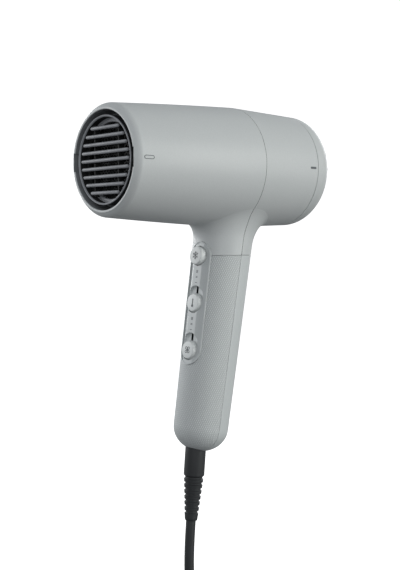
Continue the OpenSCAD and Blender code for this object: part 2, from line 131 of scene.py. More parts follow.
def colour(name, description, value):
    """A colour that a user can change; value is an sRGB hex string."""
    return bpy.props.FloatVectorProperty(
        name=name, description=description, size=3, subtype="COLOR", min=0, max=1,
        default=linear(value),
    )


def linear(value):
    """An sRGB hex colour such as 'b5b9b9' as linear red, green and blue."""
    parts = [int(value[i : i + 2], 16) / 255 for i in (0, 2, 4)]
    return tuple(c / 12.92 if c < 0.04045 else ((c + 0.055) / 1.055) ** 2.4 for c in parts)


class HairDryerColours(bpy.types.PropertyGroup):
    housing: colour("Housing", "Satin silver grey of the shells and the cap", "c0c3c3")
    grip: colour("Grip", "Knurled skin on the front of the handle", "cfd3d3")
    back: colour("Back", "Smooth skin on the back of the handle", "c2c6c6")
    panel: colour("Panel", "Control panel", "bfc3c3")
    knobs: colour("Knobs", "Button and knobs", "dadddc")
    ink: colour("Ink", "Printed marks", "53585b")
    bars: colour("Bars", "Grille bars and outlet ring", "8c8e92")
    dark: colour("Dark parts", "Socket, duct, switches and painted shade on inner and cut walls", "1b1c1e")
    cord: colour("Cord", "Cord, relief and plug", "26282a")


def in_mm(group):
    """A property group's lengths in millimetres, and its other values as they are."""
    values = {}
    for name in group.__annotations__:
        scale = 1000 if group.bl_rna.properties[name].unit == "LENGTH" else 1
        values[name] = getattr(group, name) * scale
    return type("Sizes", (), values)


# ---- frames ----------------------------------------------------------------------------------
def raised(matrix, z):
    """A frame moved along its own Z."""
    return matrix @ Matrix.Translation((0, 0, z))


def sideways(x, y, z):
    """A frame at that place whose outlines lie in Y and Z, and whose prisms run along X."""
    return Matrix(((0, 0, 1, x), (1, 0, 0, y), (0, 1, 0, z), (0, 0, 0, 1)))


def along_barrel(b):
    """Local Z runs back along the barrel, and is RIM at the outlet rim."""
    return Matrix.Translation((0, -b.reach - RIM, b.axis_height)) @ Matrix.Rotation(-TAU / 4, 4, "X")


def along_handle(h):
    """Local Z runs up the handle."""
    return Matrix.Rotation(-h.lean, 4, "X")


def on_panel(h, up=0):
    """Local Y runs into the handle from the panel's face, local Z up the panel."""
    lean = h.lean - math.atan(h.taper)
    return (
        Matrix.Translation(PANEL_ORIGIN)
        @ Matrix.Rotation(-lean, 4, "X")
        @ Matrix.Translation((0, 0, up))
    )


def on_face(h, up=0):
    """Local Z stands out of the panel's face, local Y up the panel."""
    return on_panel(h, up) @ Matrix.Rotation(TAU / 4, 4, "X")


def along_cord():
    """Local -Z runs out of the handle along the cord."""
    return Matrix.Translation(CORD_TOP) @ Matrix.Rotation(-CORD_LEAN, 4, "X")


# ---- mesh tools ------------------------------------------------------------------------------
def lathe(profile, steps=96, ring=False, matrix=Matrix(), turned=0.0):
    """The (radius, height) points of a profile spun into a closed solid about local Z.

    A shape that is cut from another is turned a little, so that no two edges coincide."""
    bm = bmesh.new()
    points = [bm.verts.new((r, 0, z)) for r, z in profile]
    lines = [bm.edges.new(pair) for pair in zip(points, points[1:])]
    if ring:
        lines.append(bm.edges.new((points[-1], points[0])))
    bmesh.ops.spin(
        bm, geom=points + lines, cent=(0, 0, 0), axis=(0, 0, 1), dvec=(0, 0, 0),
        angle=TAU, steps=steps, use_merge=True,
    )
    bmesh.ops.remove_doubles(bm, verts=bm.verts, dist=0.002)
    bmesh.ops.recalc_face_normals(bm, faces=bm.faces)
    turn = matrix @ Matrix.Rotation(math.radians(turned), 4, "Z")
    bmesh.ops.transform(bm, matrix=turn, verts=bm.verts)
    return bm


def ringed(rings, steps=144, matrix=Matrix()):
    """A closed solid from rings, each a function of the angle that gives (radius, height)."""
    bm = bmesh.new()
    angle = bm.verts.layers.float.new("angle")
    bmesh.ops.create_circle(bm, cap_ends=False, segments=steps, radius=1)
    for v in bm.verts:
        v[angle] = math.atan2(v.co.y, v.co.x)
    verts, edges = bm.verts[:], bm.edges[:]
    for index, ring in enumerate(rings):
        if index:
            grown = bmesh.ops.extrude_edge_only(bm, edges=edges)["geom"]
            verts = [g for g in grown if isinstance(g, bmesh.types.BMVert)]
            edges = [g for g in grown if isinstance(g, bmesh.types.BMEdge)]
        for v in verts:
            radius, height = ring(v[angle])
            v.co = (radius * math.cos(v[angle]), radius * math.sin(v[angle]), height)
    bmesh.ops.remove_doubles(bm, verts=bm.verts, dist=0.002)
    bmesh.ops.recalc_face_normals(bm, faces=bm.faces)
    bmesh.ops.transform(bm, matrix=matrix, verts=bm.verts)
    return bm


def prism(outline, depth, matrix=Matrix()):
    """A flat outline of (x, y) points given a depth along local Z."""
    bm = bmesh.new()
    face = bm.faces.new([bm.verts.new((x, y, 0)) for x, y in outline])
    grown = bmesh.ops.extrude_face_region(bm, geom=[face])["geom"]
    top = [g for g in grown if isinstance(g, bmesh.types.BMVert)]
    bmesh.ops.translate(bm, vec=(0, 0, depth), verts=top)
    bmesh.ops.recalc_face_normals(bm, faces=bm.faces)
    bmesh.ops.transform(bm, matrix=matrix, verts=bm.verts)
    return bm


def obround(radius, low, high, steps=48):
    """Outline of an upright slot whose end circles are centred at low and high."""
    half = steps // 2
    upper = [TAU / 2 * k / half for k in range(half + 1)]
    return [(radius * math.cos(a), high + radius * math.sin(a)) for a in upper] + [
        (-radius * math.cos(a), low - radius * math.sin(a)) for a in upper
    ]


def disc(radius, steps=48):
    return [(radius * math.cos(TAU * k / steps), radius * math.sin(TAU * k / steps)) for k in range(steps)]


def oblong(left, low, right, high):
    return [(left, low), (right, low), (right, high), (left, high)]


def rounded(bm, width, segments=3, angle=40):
    """Bevels every edge that turns by more than an angle in degrees."""
    sharp = [e for e in bm.edges if len(e.link_faces) == 2 and e.calc_face_angle(0) > math.radians(angle)]
    bmesh.ops.bevel(
        bm, geom=sharp, offset=width, offset_type="OFFSET", segments=segments, profile=0.5,
        affect="EDGES", material=-1, clamp_overlap=True,
    )
    return bm


def merged(parts):
    """Several bmeshes in one."""
    bm = bmesh.new()
    for part in parts:
        mesh = bpy.data.meshes.new("part")
        part.to_mesh(mesh)
        part.free()
        bm.from_mesh(mesh)
        bpy.data.meshes.remove(mesh)
    return bm


def body(bm, finishes=(), index=0):
    """A working object from a bmesh, in millimetres. index is the material of all its faces."""
    for face in bm.faces:
        face.material_index = index
    return body_keeping_faces(bm, finishes)


def combine(base, tool, how):
    """base joined with, cut by or kept inside a tool, which is used up."""
    shape = base.modifiers.new("shape", "BOOLEAN")
    shape.object, shape.operation, shape.solver = tool, how, "EXACT"
    graph = bpy.context.evaluated_depsgraph_get()
    mesh = bpy.data.meshes.new_from_object(base.evaluated_get(graph))
    if not mesh.polygons:
        raise RuntimeError("a shape came out empty")
    bm = bmesh.new()
    bm.from_mesh(mesh)
    bmesh.ops.remove_doubles(bm, verts=bm.verts, dist=0.0004)
    bm.to_mesh(mesh)
    bm.free()
    base.modifiers.clear()
    base.data = mesh
    bpy.data.objects.remove(tool)
    return base


def cut(base, bm, index=0):
    return combine(base, body(bm, index=index), "DIFFERENCE")


def twin(obj):
    """A second working object with its own copy of the mesh."""
    other = obj.copy()
    other.data = obj.data.copy()
    bpy.context.scene.collection.objects.link(other)
    return other


def piece(name, shape, rides="root", replaces=(), finishes=(), crease=30):
    """Finishes a bmesh or a working object in millimetres as a named piece of the dryer."""
    if isinstance(shape, bmesh.types.BMesh):
        shape = body_keeping_faces(shape, finishes)
    mesh = shape.data
    bm = bmesh.new()
    bm.from_mesh(mesh)
    bmesh.ops.remove_doubles(bm, verts=bm.verts, dist=0.0005)
    bmesh.ops.dissolve_degenerate(bm, dist=0.0005, edges=bm.edges)
    for face in bm.faces:
        face.smooth = True
    for edge in bm.edges:
        edge.smooth = len(edge.link_faces) == 2 and edge.calc_face_angle(0) < math.radians(crease)
    bmesh.ops.scale(bm, vec=(MM, MM, MM), verts=bm.verts)
    bm.to_mesh(mesh)
    bm.free()
    shape.name = mesh.name = name
    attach(shape, rides)
    if replaces:
        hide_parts(*replaces)
    return shape


def body_keeping_faces(bm, finishes):
    mesh = bpy.data.meshes.new("work")
    bm.to_mesh(mesh)
    bm.free()
    for finish in finishes:
        mesh.materials.append(finish)
    obj = bpy.data.objects.new("work", mesh)
    bpy.context.scene.collection.objects.link(obj)
    return obj


# ---- materials -------------------------------------------------------------------------------
def add(tree, kind, links=None, **settings):
    """Adds a node with its settings, and links its inputs by name or number."""
    node = tree.nodes.new(kind)
    for name, value in settings.items():
        if name.startswith("in_"):
            key = name[3:]
            node.inputs[int(key) if key.isdigit() else key.replace("_", " ")].default_value = value
        else:
            setattr(node, name, value)
    for key, source in (links or {}).items():
        tree.links.new(source, node.inputs[key])
    return node


def material(name, base, roughness, metallic=0.0, ior=1.5, **shader_values):
    """A material with one shader, and that shader and its tree."""
    made = bpy.data.materials.new(name)
    made.use_nodes = True
    tree = made.node_tree
    shader = tree.nodes["Principled BSDF"]
    shader.inputs["Base Color"].default_value = (*base, 1)
    shader.inputs["Roughness"].default_value = roughness
    shader.inputs["Metallic"].default_value = metallic
    if not metallic:
        shader.inputs["IOR"].default_value = ior
    for key, value in shader_values.items():
        shader.inputs[key.replace("_", " ")].default_value = value
    return made, tree, shader


def tinted(tree, shader, base, low, high, scale):
    """Varies the base colour between two strengths with a noise of that scale per metre."""
    place = add(tree, "ShaderNodeTexCoord").outputs["Object"]
    noise = add(tree, "ShaderNodeTexNoise", {"Vector": place}, in_Scale=scale, in_Detail=3.0)
    ramp = add(tree, "ShaderNodeValToRGB", {"Fac": noise.outputs["Fac"]})
    ramp.color_ramp.elements[0].position = 0.3
    ramp.color_ramp.elements[1].position = 0.7
    ramp.color_ramp.elements[0].color = (*[c * low for c in base], 1)
    ramp.color_ramp.elements[1].color = (*[min(1, c * high) for c in base], 1)
    tree.links.new(ramp.outputs["Color"], shader.inputs["Base Color"])


def roughened(tree, shader, low, high, scale):
    """Varies the roughness between two values with a noise of that scale per metre."""
    place = add(tree, "ShaderNodeTexCoord").outputs["Object"]
    noise = add(tree, "ShaderNodeTexNoise", {"Vector": place}, in_Scale=scale, in_Detail=4.0)
    spread = add(tree, "ShaderNodeMapRange", {"Value": noise.outputs["Fac"]},
                 in_1=0.3, in_2=0.7, in_3=low, in_4=high)
    tree.links.new(spread.outputs[0], shader.inputs["Roughness"])


def grained(tree, shader, scale, depth, strength=0.35):
    """Gives the surface a fine moulded grain: scale per metre, depth in metres."""
    place = add(tree, "ShaderNodeTexCoord").outputs["Object"]
    noise = add(tree, "ShaderNodeTexNoise", {"Vector": place}, in_Scale=scale, in_Detail=2.0)
    bump = add(tree, "ShaderNodeBump", {"Height": noise.outputs["Fac"]},
               in_Strength=strength, in_Distance=depth)
    tree.links.new(bump.outputs["Normal"], shader.inputs["Normal"])


def painted_abs(name, base, roughness=0.42):
    """Moulded ABS under a satin silver lacquer: a soft broad sheen over tiny flakes, hardly any
    grain, and a slight drift in sheen over about 2 cm."""
    made, tree, shader = material(name, base, roughness, Specular_IOR_Level=0.45)
    tinted(tree, shader, base, 0.97, 1.03, 1400)       # flakes of about 0.7 mm, drawn coarse to show
    roughened(tree, shader, roughness - 0.04, roughness + 0.05, 55)
    grained(tree, shader, 2600, 0.00003, 0.25)         # orange peel of about 0.4 mm
    return made


def moulded_plastic(name, base, roughness, grain=2200, depth=0.00005):
    """Bare moulded plastic: even colour, a fine spark-eroded grain and a dull sheen."""
    made, tree, shader = material(name, base, roughness, ior=1.52)
    tinted(tree, shader, base, 0.9, 1.1, 160)
    roughened(tree, shader, roughness - 0.06, roughness + 0.08, 90)
    grained(tree, shader, grain, depth)
    return made


def knurled_grip(name, base, h):
    """Soft-touch elastomer moulded with a fine diamond knurl. The real knurl is about 1 mm, drawn at
    1.6 mm so that it shows."""
    made, tree, shader = material(name, base, 0.55, Specular_IOR_Level=0.35)
    place = add(tree, "ShaderNodeTexCoord").outputs["Object"]
    turned = add(tree, "ShaderNodeMapping", {"Vector": place}, vector_type="POINT")
    turned.inputs["Rotation"].default_value = (h.lean, 0, 0)     # so that Z runs up the handle
    axes = add(tree, "ShaderNodeSeparateXYZ", {"Vector": turned.outputs[0]})
    turn = add(tree, "ShaderNodeMath", {0: axes.outputs["X"], 1: axes.outputs["Y"]}, operation="ARCTAN2")
    round_about = add(tree, "ShaderNodeMath", {0: turn.outputs[0]}, operation="MULTIPLY")
    round_about.inputs[1].default_value = h.radius * MM
    waves = []
    for side in (1, -1):
        along = add(tree, "ShaderNodeMath", {0: axes.outputs["Z"]}, operation="MULTIPLY")
        along.inputs[1].default_value = 0.62 * side
        slant = add(tree, "ShaderNodeMath", {0: round_about.outputs[0], 1: along.outputs[0]},
                    operation="ADD")
        scaled = add(tree, "ShaderNodeMath", {0: slant.outputs[0]}, operation="MULTIPLY")
        scaled.inputs[1].default_value = TAU / GROOVE
        waves.append(add(tree, "ShaderNodeMath", {0: scaled.outputs[0]}, operation="SINE"))
    lattice = add(tree, "ShaderNodeMath", {0: waves[0].outputs[0], 1: waves[1].outputs[0]},
                  operation="MINIMUM")
    height = add(tree, "ShaderNodeMapRange", {"Value": lattice.outputs[0]},
                 in_1=-1.0, in_2=0.6, in_3=0.0, in_4=1.0)
    # painted shade: the colour is darker down in the grooves
    painted_shade_ramp = add(tree, "ShaderNodeValToRGB", {"Fac": height.outputs[0]})
    painted_shade_ramp.color_ramp.elements[0].color = (*[c * 0.7 for c in base], 1)
    painted_shade_ramp.color_ramp.elements[1].color = (*base, 1)
    tree.links.new(painted_shade_ramp.outputs["Color"], shader.inputs["Base Color"])
    bump = add(tree, "ShaderNodeBump", {"Height": height.outputs[0]}, in_Strength=0.4, in_Distance=0.0002)
    tree.links.new(bump.outputs["Normal"], shader.inputs["Normal"])
    return made


def drawn_wire_steel(name, base, roughness, scale=900):
    """Drawn or turned metal: bright, with fine faint marks."""
    made, tree, shader = material(name, base, roughness, metallic=1.0)
    tinted(tree, shader, base, 0.86, 1.05, scale)
    roughened(tree, shader, roughness * 0.8, roughness * 1.3, scale / 3)
    grained(tree, shader, scale * 2, 0.00002, 0.2)
    return made


def pvc_cord(name, base):
    """Extruded flexible PVC: soft, slightly waxy, with a fine matt skin."""
    made, tree, shader = material(name, base, 0.5, ior=1.53)
    tinted(tree, shader, base, 0.88, 1.1, 60)
    roughened(tree, shader, 0.44, 0.58, 120)
    grained(tree, shader, 1800, 0.00005)
    return made


FINISHES = {}


def prepare_finishes(colours, h):
    """Every material that the pieces and the carried-over CAD nodes wear, by slot name."""
    hue = {name: tuple(getattr(colours, name)) for name in colours.__annotations__}
    FINISHES.update(
        housing=painted_abs("lacquered ABS, silver", hue["housing"]),
        grip=knurled_grip("knurled elastomer, silver", hue["grip"], in_mm(h)),
        back=painted_abs("lacquered ABS, handle back", hue["back"], 0.46),
        panel=painted_abs("lacquered ABS, panel", hue["panel"], 0.38),
        knobs=painted_abs("lacquered ABS, knobs", hue["knobs"], 0.36),
        ink=moulded_plastic("screen ink, grey", hue["ink"], 0.5),
        bars=moulded_plastic("glass-filled nylon, grey", hue["bars"], 0.5, 1500, 0.00006),
        # the socket's walls are a darker grey than the housing
        socket=moulded_plastic("glass-filled nylon, dark grey", linear("85888b"), 0.5),
        dark=moulded_plastic("moulded nylon, black", hue["dark"], 0.48),
        cord=pvc_cord("flexible PVC, charcoal", hue["cord"]),
        plug=moulded_plastic("moulded PVC, charcoal", hue["cord"], 0.5, 1400, 0.00008),
        steel=drawn_wire_steel("zinc-plated steel", linear("c3c6c8"), 0.32),
        motor=drawn_wire_steel("deep-drawn motor steel", linear("aaadb0"), 0.38),
        duct=drawn_wire_steel("rolled stainless steel", linear("9fa2a5"), 0.36),
        nichrome=drawn_wire_steel("nichrome wire", linear("8d8781"), 0.45),
        brass=drawn_wire_steel("sintered brass", linear("b8934e"), 0.4),
        nickel=drawn_wire_steel("nickel-plated brass", linear("cfc9b8"), 0.22),
        copper=drawn_wire_steel("enamelled copper", linear("a8663a"), 0.35),
        mica=moulded_plastic("mica board", linear("c9bd9d"), 0.6, 700, 0.0001),
        ceramic=moulded_plastic("steatite ceramic", linear("d8d3c6"), 0.35, 900),
        black=moulded_plastic("matt nylon, black", linear("0d0e10"), 0.75),
        rubber=moulded_plastic("black EPDM rubber", linear("1c1c1d"), 0.7, 900, 0.0001),
        white=moulded_plastic("white nylon", linear("dedcd5"), 0.45),
        laminate=moulded_plastic("green board laminate", linear("2d6a45"), 0.4),
        capacitor=moulded_plastic("yellow epoxy capacitor", linear("c8ae3a"), 0.42),
        lead=pvc_cord("lead insulation, red", linear("7d2d28")),
        mesh=woven_mesh("woven stainless mesh"),
        tie=moulded_plastic("hook-and-loop strap", linear("1a1b1c"), 0.9, 1100, 0.0003),
    )


def woven_mesh(name):
    """Stainless mesh woven at 0.8 mm: crossing round wires, with painted shade, near-black, in the gaps
    between them.
    """
    base = linear("8a8c8e")
    made, tree, shader = material(name, base, 0.4, metallic=0.6)
    place = add(tree, "ShaderNodeTexCoord").outputs["Object"]
    axes = add(tree, "ShaderNodeSeparateXYZ", {"Vector": place})
    waves = []
    for axis in ("X", "Z"):
        scaled = add(tree, "ShaderNodeMath", {0: axes.outputs[axis]}, operation="MULTIPLY")
        scaled.inputs[1].default_value = TAU / GROOVE
        wave = add(tree, "ShaderNodeMath", {0: scaled.outputs[0]}, operation="SINE")
        waves.append(add(tree, "ShaderNodeMath", {0: wave.outputs[0]}, operation="ABSOLUTE"))
    wire = add(tree, "ShaderNodeMath", {0: waves[0].outputs[0], 1: waves[1].outputs[0]},
               operation="MAXIMUM")
    painted_shade_ramp = add(tree, "ShaderNodeValToRGB", {"Fac": wire.outputs[0]})
    painted_shade_ramp.color_ramp.elements[0].position = 0.55
    # painted shade: the gaps between the wires are near-black
    painted_shade_ramp.color_ramp.elements[0].color = (0.01, 0.01, 0.01, 1)
    painted_shade_ramp.color_ramp.elements[1].position = 0.8
    painted_shade_ramp.color_ramp.elements[1].color = (*base, 1)
    tree.links.new(painted_shade_ramp.outputs["Color"], shader.inputs["Base Color"])
    bump = add(tree, "ShaderNodeBump", {"Height": wire.outputs[0]}, in_Strength=0.6, in_Distance=0.0002)
    tree.links.new(bump.outputs["Normal"], shader.inputs["Normal"])
    return made


# ---- profile of the dryer --------------------------------------------------------------------
def front_radius(b, s):
    return b.lip_radius + 0.066 * s - 0.00013 * s * s


def rear_radius(b, s):
    start = RIM + b.front_length
    seam = front_radius(b, start)
    return seam - (s - start) * (seam - b.tail_radius) / (b.dome_start - start)


def barrel_radius(b, s):
    return front_radius(b, s) if s < RIM + b.front_length else rear_radius(b, s)


def handle_radius(h, z):
    return h.radius + h.taper * z


def barrel_underside(b, h, x, y):
    """Height in the handle's frame at which the line through (x, y) meets the barrel's underside."""
    up, over, z = math.cos(h.lean), math.sin(h.lean), 50.0
    for _ in range(8):
        s = y * up + z * over + b.reach + RIM
        low = b.axis_height - math.sqrt(barrel_radius(b, s) ** 2 - x * x)
        z = (low + y * over) / up
    return z


def barrel_solid(b):
    """Outside of the barrel up to the cap's seam, with its rounded lip."""
    profile = [(0, RIM + 1.0), (b.socket_radius - 0.4, RIM + 1.0), (b.socket_radius + 0.1, RIM + 0.25),
               (b.socket_radius + 0.35, RIM + 0.05), (33.1, RIM), (33.75, RIM), (33.95, RIM + 0.1),
               (34.1, RIM + 0.35)]
    edge = front_radius(b, RIM + 5)
    for k in range(1, 13):       # the shoulder behind the lip
        t = k / 12
        profile.append((34.1 + (edge - 34.1) * t * (2 - t), RIM + 0.35 + 4.65 * t))
    profile += [(front_radius(b, s), s) for s in range(12, 109, 4)]
    profile += [(front_radius(b, RIM + b.front_length), RIM + b.front_length)]
    profile += [(rear_radius(b, s), s) for s in range(114, 163, 6)]
    profile += [(rear_radius(b, b.cap_seam - 0.25), b.cap_seam - 0.25),
                (rear_radius(b, b.cap_seam) - 0.25, b.cap_seam), (0, b.cap_seam)]
    return lathe(profile, 192, matrix=along_barrel(b))


def barrel_hollow(b):
    profile = [(0, SOCKET_END - 1), (28.4, SOCKET_END - 1), (28.4, SOCKET_END + 2.5)]
    profile += [(front_radius(b, s) - b.wall, s) for s in (20.5, 40, 60, 80, 100)]
    profile += [(front_radius(b, RIM + b.front_length) - b.wall, RIM + b.front_length),
                (rear_radius(b, b.cap_seam) - b.wall, b.cap_seam + 1), (0, b.cap_seam + 1)]
    return lathe(profile, 94, matrix=along_barrel(b), turned=0.37)


def neck_line(h, radius, angle, drop=0.0):
    """Height in the handle's frame of the level line where the grip skins end."""
    return (h.neck_height - drop + radius * math.sin(angle) * math.sin(h.lean)) / math.cos(h.lean)


def foot_arc(h, inset, steps):
    """Profile of the rounded foot, a distance inside its surface."""
    arc = []
    for k in range(steps + 1):
        a = TAU / 4 * k / steps
        arc.append(((handle_radius(h, -h.foot_start) - inset) * math.sin(a),
                    -h.foot_start - (h.foot_height - inset) * math.cos(a)))
    return arc


def handle_solid(b, h):
    """The handle's core, and its neck that flares smoothly into the barrel."""
    core = h.skin
    rings = [lambda angle, r=r, z=z: (r, z) for r, z in foot_arc(h, core, 8)]
    rings += [lambda angle, z=z: (handle_radius(h, z) - core, z) for z in (-50, -20, 0, 20)]
    top = handle_radius(h, h.neck_height)
    rings.append(lambda angle: (top - core, neck_line(h, top, angle)))
    rings.append(lambda angle: (top - 0.2, neck_line(h, top, angle)))
    rings.append(lambda angle: (top, neck_line(h, top, angle, -0.25)))

    def flare(turn, angle):
        back = (1 + math.sin(angle)) / 2
        width, drop = 8.5 + 1.5 * back, 12 + 5.5 * back
        radius = top + 0.15 + width * (1 - math.cos(turn))
        x, y = radius * math.cos(angle), radius * math.sin(angle)
        return radius, barrel_underside(b, h, x, y) - drop * (1 - math.sin(turn))

    for k in range(15):
        rings.append(lambda angle, t=math.radians(6 * k): flare(t, angle))
    rings.append(lambda angle: (flare(math.radians(84), angle)[0], flare(math.radians(84), angle)[1] + 7))
    rings.append(lambda angle: (0, 82))
    return ringed(rings, 160, along_handle(h))


def handle_hollow(b, h):
    inset = h.skin + b.wall
    profile = foot_arc(h, inset, 8) + [(handle_radius(h, 70) - inset, 70), (0, 70)]
    return lathe(profile, 62, matrix=along_handle(h), turned=0.53)


def front_side(b, h, past=0.0):
    """Everything in front of the seam between the two shells, and a little past it."""
    seam = b.front_length - b.reach
    knee = seam / math.tan(h.lean)
    low, high, far = -150.0, 170.0, -170.0
    outline = [(low * math.tan(h.lean) + past, low), (seam + past, knee), (seam + past, high),
               (far, high), (far, low)]
    return prism(outline, 140, sideways(-70, 0, 0))


def panel_opening(h, fit=0.15):
    """What the shells and skins lose for the control panel."""
    return prism(obround(h.panel_radius + fit, -h.control_pitch, h.control_pitch), 16,
                 raised(on_face(h), -8))


def cord_hole(fit=0.15):
    """What the shells and skins lose for the strain relief."""
    return prism(disc(7.3 + fit), 26, raised(along_cord(), -20))


# ---- operators -------------------------------------------------------------------------------
class DryerOperator:
    bl_options = {"REGISTER", "UNDO"}

    def sizes(self, context):
        scene = context.scene
        return in_mm(scene.hair_dryer_barrel), in_mm(scene.hair_dryer_handle)


class MakeCamera(bpy.types.Operator):
    """Sets the camera in front of the dryer, off to the side of +X"""

    bl_idname = "hair_dryer.camera"
    bl_label = "Camera"

    def execute(self, context):
        data = bpy.data.cameras.new("camera")
        data.sensor_width, data.lens = 36.0, 1000 / 570 * 36
        data.clip_start, data.clip_end = 0.01, 100
        camera = bpy.data.objects.new("camera", data)
        camera.location = (0.5295, -0.4715, 0.0479)
        pan, tilt = math.radians(49.17), math.radians(90 - 2.52)
        camera.rotation_euler = (tilt, 0, pan)
        context.scene.collection.objects.link(camera)
        context.scene.camera = camera
        return {"FINISHED"}


# ---- mains cord ------------------------------------------------------------------------------
LEAD = [(0, -22.4, -147.8), (0, -23.1, -157), (0, -23.7, -167), (0, -24, -177), (0, -24, -187),
        (-1.4, -24, -197), (-5.6, -24.5, -207), (-12, -26, -216), (-20, -30.5, -222.5),
        (-27, -38, -226.5)]
TAIL = [(47.5, -50, -241.8), (47.5, -42, -240.5), (47.5, -34, -238), (47.5, -26, -235),
        (47.5, -19, -233), (47.5, -12, -232.5)]
COIL_CENTRE = (0.0, -57.5)
TURN_IN, TURN_OUT, PITCH = 33.5, 47.5, 7.0
LAND = math.radians(161.8)
PLUG_START = TAIL[-1]


def on_coil(angle, radius, z):
    """The point of the coil at that angle and radius."""
    return Vector((COIL_CENTRE[0] + radius * math.cos(angle),
                   COIL_CENTRE[1] + radius * math.sin(angle), z))


def cord_route():
    """The cord's points in millimetres: down from the relief, three layers of turns, and the tail."""
    points = [Vector(p) for p in LEAD]
    top = -228.0

    def spiral(start, sweep, from_radius, to_radius, from_z, to_z, per_turn=16):
        count = max(2, round(per_turn * sweep / TAU))
        for k in range(1, count + 1):
            t = k / count
            a = start + sweep * t
            ease = t * t * (3 - 2 * t)
            z = from_z + (to_z - from_z) * ease
            r = from_radius + (to_radius - from_radius) * t
            points.append(on_coil(a, r, z))
        return start + sweep

    points.append(on_coil(LAND, TURN_IN, top))
    a = spiral(LAND, 2 * TAU, TURN_IN, TURN_OUT, top, top)
    a = spiral(a, TAU / 4, TURN_OUT, TURN_OUT, top, top - PITCH)
    a = spiral(a, 2 * TAU, TURN_OUT, TURN_IN, top - PITCH, top - PITCH)
    a = spiral(a, TAU / 4, TURN_IN, TURN_IN, top - PITCH, top - 2 * PITCH)
    a = spiral(a, 2 * TAU, TURN_IN, TURN_OUT, top - 2 * PITCH, top - 2 * PITCH)
    spiral(a, TAU - (a % TAU), TURN_OUT, TURN_OUT, top - 2 * PITCH, top - 2 * PITCH, 24)
    return points + [Vector(p) for p in TAIL]


class MakeCord(bpy.types.Operator):
    """Lays the mains cord: it hangs from the relief and lies in a tied coil"""

    bl_idname = "hair_dryer.cord"
    bl_label = "Mains cord"

    def execute(self, context):
        route = cord_route()
        data = bpy.data.curves.new("cord", "CURVE")
        data.dimensions = "3D"
        data.bevel_depth, data.bevel_resolution, data.resolution_u = 3.5 * MM, 4, 4
        data.use_fill_caps = True
        spline = data.splines.new("BEZIER")
        spline.bezier_points.add(len(route) - 1)
        for k, (point, place) in enumerate(zip(spline.bezier_points, route)):
            before, after = route[max(k - 1, 0)], route[min(k + 1, len(route) - 1)]
            way = (after - before).normalized()
            point.co = place * MM
            point.handle_left = (place - way * (place - before).length / 3) * MM
            point.handle_right = (place + way * (after - place).length / 3) * MM
        cord = bpy.data.objects.new("mains_cord", data)
        context.scene.collection.objects.link(cord)
        data.materials.append(FINISHES["cord"])
        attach(cord, "housing")
        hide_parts("cord_lead", "cord_coil", "cord_tail")
        tie = self.make_tie()
        plug = self.make_plug()
        return {"FINISHED"}

    def make_tie(self):
        """A hook-and-loop strap round the coil."""
        angle = math.radians(225)
        middle = (TURN_IN + TURN_OUT) / 2
        half_w, half_h, thick = (TURN_OUT - TURN_IN + PITCH) / 2 + 0.1, 1.5 * PITCH + 0.1, 1.1
        corner = 2.5

        def loop(out):
            points = []
            for sx, sy, start in ((1, 1, 0), (-1, 1, 90), (-1, -1, 180), (1, -1, 270)):
                for k in range(5):
                    a = math.radians(start + 22.5 * k)
                    points.append((sx * (half_w - corner) + (corner + out) * math.cos(a),
                                   sy * (half_h - corner) + (corner + out) * math.sin(a)))
            return points

        turn = (Matrix.Translation((*COIL_CENTRE, -235)) @ Matrix.Rotation(angle, 4, "Z")
                @ Matrix.Translation((middle, 6, 0)) @ Matrix.Rotation(TAU / 4, 4, "X"))
        strap = body(prism(loop(thick), 12, turn), [FINISHES["tie"]])
        strap = cut(strap, prism(loop(0), 16, raised(turn, -2)))
        return piece("cord_tie_strap", strap, "housing", ["cord_tie"])

    def make_plug(self):
        """A flat two-pin plug: waisted grip, ribbed relief and round pins."""
        at = Matrix.Translation(PLUG_START) @ Matrix.Rotation(-TAU / 4, 4, "X")
        profile = [(0, 18), (7.4, 18), (8.2, 18.6), (10.2, 21), (11.4, 24), (12.6, 30), (14.6, 36),
                   (16.6, 41), (17.4, 43.5), (17.75, 46), (17.75, 52.8), (17.2, 53.7), (16.4, 54), (0, 54)]
        shape = body(lathe(profile, 72, matrix=at), [FINISHES["plug"]])
        keep = prism(oblong(-18.5, 0, 18.5, 60), 25.8, raised(Matrix.Translation(PLUG_START), -12.9))
        shape = combine(shape, body(keep), "INTERSECT")
        body_piece = piece("plug_shell", shape, "housing", ["plug_body"])
        rounding = body_piece.modifiers.new("rounding", "BEVEL")
        rounding.width, rounding.segments, rounding.limit_method = 0.8 * MM, 3, "ANGLE"
        rounding.angle_limit = math.radians(50)
        profile = [(3.5, 0)]
        for k in range(6):      # flexible ribs of the relief
            z = 2.2 + 2.6 * k
            r = 4.4 + 1.6 * k / 5
            profile += [(r, z - 0.9), (r, z + 0.6), (r - 0.9, z + 0.8), (r - 0.9, z + 1.5)]
        profile += [(6.0, 17.2), (6.0, 18.3), (3.5, 18.3)]
        relief = piece("plug_relief_ribbed", lathe(profile, 48, ring=True, matrix=at), "housing",
                       ["plug_relief"], [FINISHES["plug"]])
        pins = []
        for x in (-9.5, 9.5):
            stem = [(0, 54), (2.4, 54), (2.4, 70.2), (2.2, 71.3), (1.7, 72.4), (0.9, 73), (0, 73)]
            pins.append(lathe(stem, 32, matrix=at @ Matrix.Translation((x, 0, 0))))
        pin_piece = piece("plug_pin_pair", merged(pins), "housing", ["plug_pins"],
                          [FINISHES["nickel"]])
        return body_piece, relief, pin_piece


